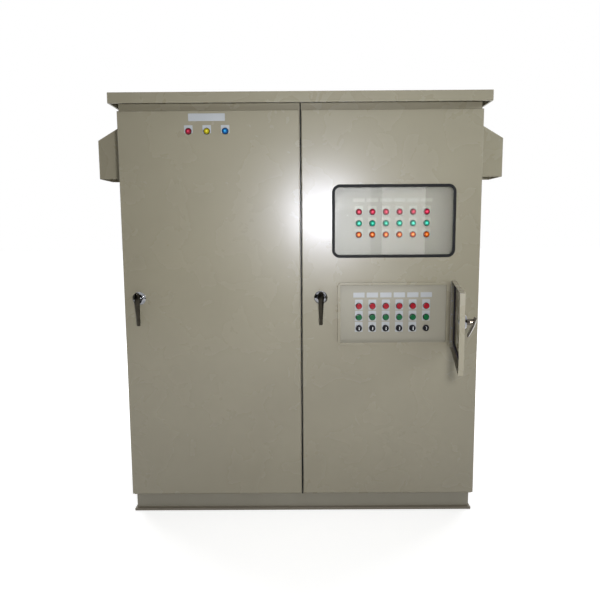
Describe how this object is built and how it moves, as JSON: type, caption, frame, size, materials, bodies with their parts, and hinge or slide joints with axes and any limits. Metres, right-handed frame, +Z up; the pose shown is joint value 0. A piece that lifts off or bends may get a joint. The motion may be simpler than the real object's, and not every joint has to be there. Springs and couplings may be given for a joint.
{
  "type": "outdoor control cabinet",
  "caption": "Floor-standing outdoor control cabinet with paired lever doors, window over pilot lamps, hinged flap over push-buttons, rain canopy and channel plinth.",
  "frame": {"origin": "on the floor under the middle of the plinth, at the centre of the anchor holes", "axes": "+Z up, the doors face -Y, +X to the right as seen from the front"},
  "size_m": [1.89, 1.0715, 1.906],
  "materials": {
    "cabinet_paint": "satin powder coat, weathered",
    "plinth_paint": "satin powder coat, dusty",
    "zinc_steel": "zinc plated",
    "lever_chrome": "polished, lightly fingered",
    "seal_rubber": "matt foam rubber",
    "window_acrylic": "clear, glossy",
    "red_lens": "moulded lens",
    "green_lens": "moulded lens",
    "amber_lens": "moulded lens",
    "yellow_lens": "moulded lens",
    "blue_lens": "moulded lens",
    "red_plastic": "moulded cap",
    "green_plastic": "moulded cap",
    "black_plastic": "moulded",
    "grey_plastic": "moulded"
  },
  "bodies": {
    "cabinet": {"plinth_frame": "plinth_paint", "left_front_frame": "cabinet_paint", "right_front_frame": "cabinet_paint", "body_shells": "cabinet_paint", "rear_panels": "cabinet_paint", "gland_plates": "zinc_steel", "roof_canopy": "cabinet_paint", "vent_hoods": "cabinet_paint", "mounting_plates": "zinc_steel", "mounting_rails": "zinc_steel", "circuit_breakers": "grey_plastic", "contactors": "black_plastic", "terminal_blocks": "grey_plastic", "wiring_ducts": "grey_plastic"},
    "left_door": {"left_door": "cabinet_paint", "left_door_seal": "seal_rubber", "phase_lamp_red": "red_lens", "phase_lamp_yellow": "yellow_lens", "phase_lamp_blue": "blue_lens", "left_lock_set": "lever_chrome"},
    "left_lever": {"left_lever": "lever_chrome"},
    "left_upper_rod": {"left_upper_rod": "zinc_steel"},
    "left_lower_rod": {"left_lower_rod": "zinc_steel"},
    "right_door": {"right_door": "cabinet_paint", "right_door_seal": "seal_rubber", "window_gasket": "seal_rubber", "window_pane": "window_acrylic", "lamp_tray": "cabinet_paint", "red_lamps": "red_lens", "green_lamps": "green_lens", "amber_lamps": "amber_lens", "operator_tray": "cabinet_paint", "operator_bodies": "black_plastic", "right_lock_set": "lever_chrome", "flap_hinge_fixed": "zinc_steel"},
    "right_lever": {"right_lever": "lever_chrome"},
    "right_upper_rod": {"right_upper_rod": "zinc_steel"},
    "right_lower_rod": {"right_lower_rod": "zinc_steel"},
    "flap": {"flap_door": "cabinet_paint", "flap_seal": "seal_rubber", "flap_hinge_moving": "zinc_steel"},
    "flap_lever": {"flap_lever": "lever_chrome"},
    "red_button_1": {"red_button_1": "red_plastic"},
    "green_button_1": {"green_button_1": "green_plastic"},
    "selector_knob_1": {"selector_knob_1": "black_plastic"},
    "red_button_2": {"red_button_2": "red_plastic"},
    "green_button_2": {"green_button_2": "green_plastic"},
    "selector_knob_2": {"selector_knob_2": "black_plastic"},
    "red_button_3": {"red_button_3": "red_plastic"},
    "green_button_3": {"green_button_3": "green_plastic"},
    "selector_knob_3": {"selector_knob_3": "black_plastic"},
    "red_button_4": {"red_button_4": "red_plastic"},
    "green_button_4": {"green_button_4": "green_plastic"},
    "selector_knob_4": {"selector_knob_4": "black_plastic"},
    "red_button_5": {"red_button_5": "red_plastic"},
    "green_button_5": {"green_button_5": "green_plastic"},
    "selector_knob_5": {"selector_knob_5": "black_plastic"},
    "red_button_6": {"red_button_6": "red_plastic"},
    "green_button_6": {"green_button_6": "green_plastic"},
    "selector_knob_6": {"selector_knob_6": "black_plastic"}
  },
  "joints": [
    {"name": "left_door_hinge", "type": "hinge", "parent": "cabinet", "child": "left_door", "pos_m": [-0.015, -0.267, 0], "axis": [0, 0, 1], "range_deg": [0, 100]},
    {"name": "right_door_hinge", "type": "hinge", "parent": "cabinet", "child": "right_door", "pos_m": [0.79, -0.267, 0], "axis": [0, 0, 1], "range_deg": [0, 110]},
    {"name": "flap_hinge", "type": "hinge", "parent": "right_door", "child": "flap", "pos_m": [0.6769, -0.2836, 0], "axis": [0, 0, 1], "range_deg": [-79.5, 20.5]},
    {"name": "flap_lever_turn", "type": "hinge", "parent": "flap", "child": "flap_lever", "pos_m": [0.60969, -0.74447, 0.977], "axis": [0.9833, -0.1822, 0], "range_deg": [-55, 35]},
    {"name": "left_lever_turn", "type": "hinge", "parent": "left_door", "child": "left_lever", "pos_m": [-0.733, -0.28, 1.017], "axis": [0, -1, 0], "range_deg": [0, 90]},
    {"name": "left_upper_rod_slide", "type": "slide", "parent": "left_door", "child": "left_upper_rod", "axis": [0, 0, 1], "range_m": [0, 0.02]},
    {"name": "left_lower_rod_slide", "type": "slide", "parent": "left_door", "child": "left_lower_rod", "axis": [0, 0, -1], "range_m": [0, 0.02]},
    {"name": "right_lever_turn", "type": "hinge", "parent": "right_door", "child": "right_lever", "pos_m": [0.088, -0.28, 1.017], "axis": [0, -1, 0], "range_deg": [0, 90]},
    {"name": "right_upper_rod_slide", "type": "slide", "parent": "right_door", "child": "right_upper_rod", "axis": [0, 0, 1], "range_m": [0, 0.02]},
    {"name": "right_lower_rod_slide", "type": "slide", "parent": "right_door", "child": "right_lower_rod", "axis": [0, 0, -1], "range_m": [0, 0.02]},
    {"name": "red_button_1_press", "type": "slide", "parent": "right_door", "child": "red_button_1", "axis": [0, 1, 0], "range_m": [0, 0.004], "stiffness_N_per_m": 500},
    {"name": "green_button_1_press", "type": "slide", "parent": "right_door", "child": "green_button_1", "axis": [0, 1, 0], "range_m": [0, 0.004], "stiffness_N_per_m": 500},
    {"name": "selector_knob_1_turn", "type": "hinge", "parent": "right_door", "child": "selector_knob_1", "pos_m": [0.261, -0.279, 0.8735], "axis": [0, 1, 0], "range_deg": [-45, 45]},
    {"name": "red_button_2_press", "type": "slide", "parent": "right_door", "child": "red_button_2", "axis": [0, 1, 0], "range_m": [0, 0.004], "stiffness_N_per_m": 500},
    {"name": "green_button_2_press", "type": "slide", "parent": "right_door", "child": "green_button_2", "axis": [0, 1, 0], "range_m": [0, 0.004], "stiffness_N_per_m": 500},
    {"name": "selector_knob_2_turn", "type": "hinge", "parent": "right_door", "child": "selector_knob_2", "pos_m": [0.322, -0.279, 0.8735], "axis": [0, 1, 0], "range_deg": [-45, 45]},
    {"name": "red_button_3_press", "type": "slide", "parent": "right_door", "child": "red_button_3", "axis": [0, 1, 0], "range_m": [0, 0.004], "stiffness_N_per_m": 500},
    {"name": "green_button_3_press", "type": "slide", "parent": "right_door", "child": "green_button_3", "axis": [0, 1, 0], "range_m": [0, 0.004], "stiffness_N_per_m": 500},
    {"name": "selector_knob_3_turn", "type": "hinge", "parent": "right_door", "child": "selector_knob_3", "pos_m": [0.383, -0.279, 0.8735], "axis": [0, 1, 0], "range_deg": [-45, 45]},
    {"name": "red_button_4_press", "type": "slide", "parent": "right_door", "child": "red_button_4", "axis": [0, 1, 0], "range_m": [0, 0.004], "stiffness_N_per_m": 500},
    {"name": "green_button_4_press", "type": "slide", "parent": "right_door", "child": "green_button_4", "axis": [0, 1, 0], "range_m": [0, 0.004], "stiffness_N_per_m": 500},
    {"name": "selector_knob_4_turn", "type": "hinge", "parent": "right_door", "child": "selector_knob_4", "pos_m": [0.444, -0.279, 0.8735], "axis": [0, 1, 0], "range_deg": [-45, 45]},
    {"name": "red_button_5_press", "type": "slide", "parent": "right_door", "child": "red_button_5", "axis": [0, 1, 0], "range_m": [0, 0.004], "stiffness_N_per_m": 500},
    {"name": "green_button_5_press", "type": "slide", "parent": "right_door", "child": "green_button_5", "axis": [0, 1, 0], "range_m": [0, 0.004], "stiffness_N_per_m": 500},
    {"name": "selector_knob_5_turn", "type": "hinge", "parent": "right_door", "child": "selector_knob_5", "pos_m": [0.505, -0.279, 0.8735], "axis": [0, 1, 0], "range_deg": [-45, 45]},
    {"name": "red_button_6_press", "type": "slide", "parent": "right_door", "child": "red_button_6", "axis": [0, 1, 0], "range_m": [0, 0.004], "stiffness_N_per_m": 500},
    {"name": "green_button_6_press", "type": "slide", "parent": "right_door", "child": "green_button_6", "axis": [0, 1, 0], "range_m": [0, 0.004], "stiffness_N_per_m": 500},
    {"name": "selector_knob_6_turn", "type": "hinge", "parent": "right_door", "child": "selector_knob_6", "pos_m": [0.566, -0.279, 0.8735], "axis": [0, 1, 0], "range_deg": [-45, 45]}
  ],
  "couplings": [
    {"joint": "left_upper_rod_slide", "follows": "left_lever_turn", "m_per_rad": 0.01273},
    {"joint": "left_lower_rod_slide", "follows": "left_lever_turn", "m_per_rad": 0.01273},
    {"joint": "right_upper_rod_slide", "follows": "right_lever_turn", "m_per_rad": 0.01273},
    {"joint": "right_lower_rod_slide", "follows": "right_lever_turn", "m_per_rad": 0.01273}
  ]
}
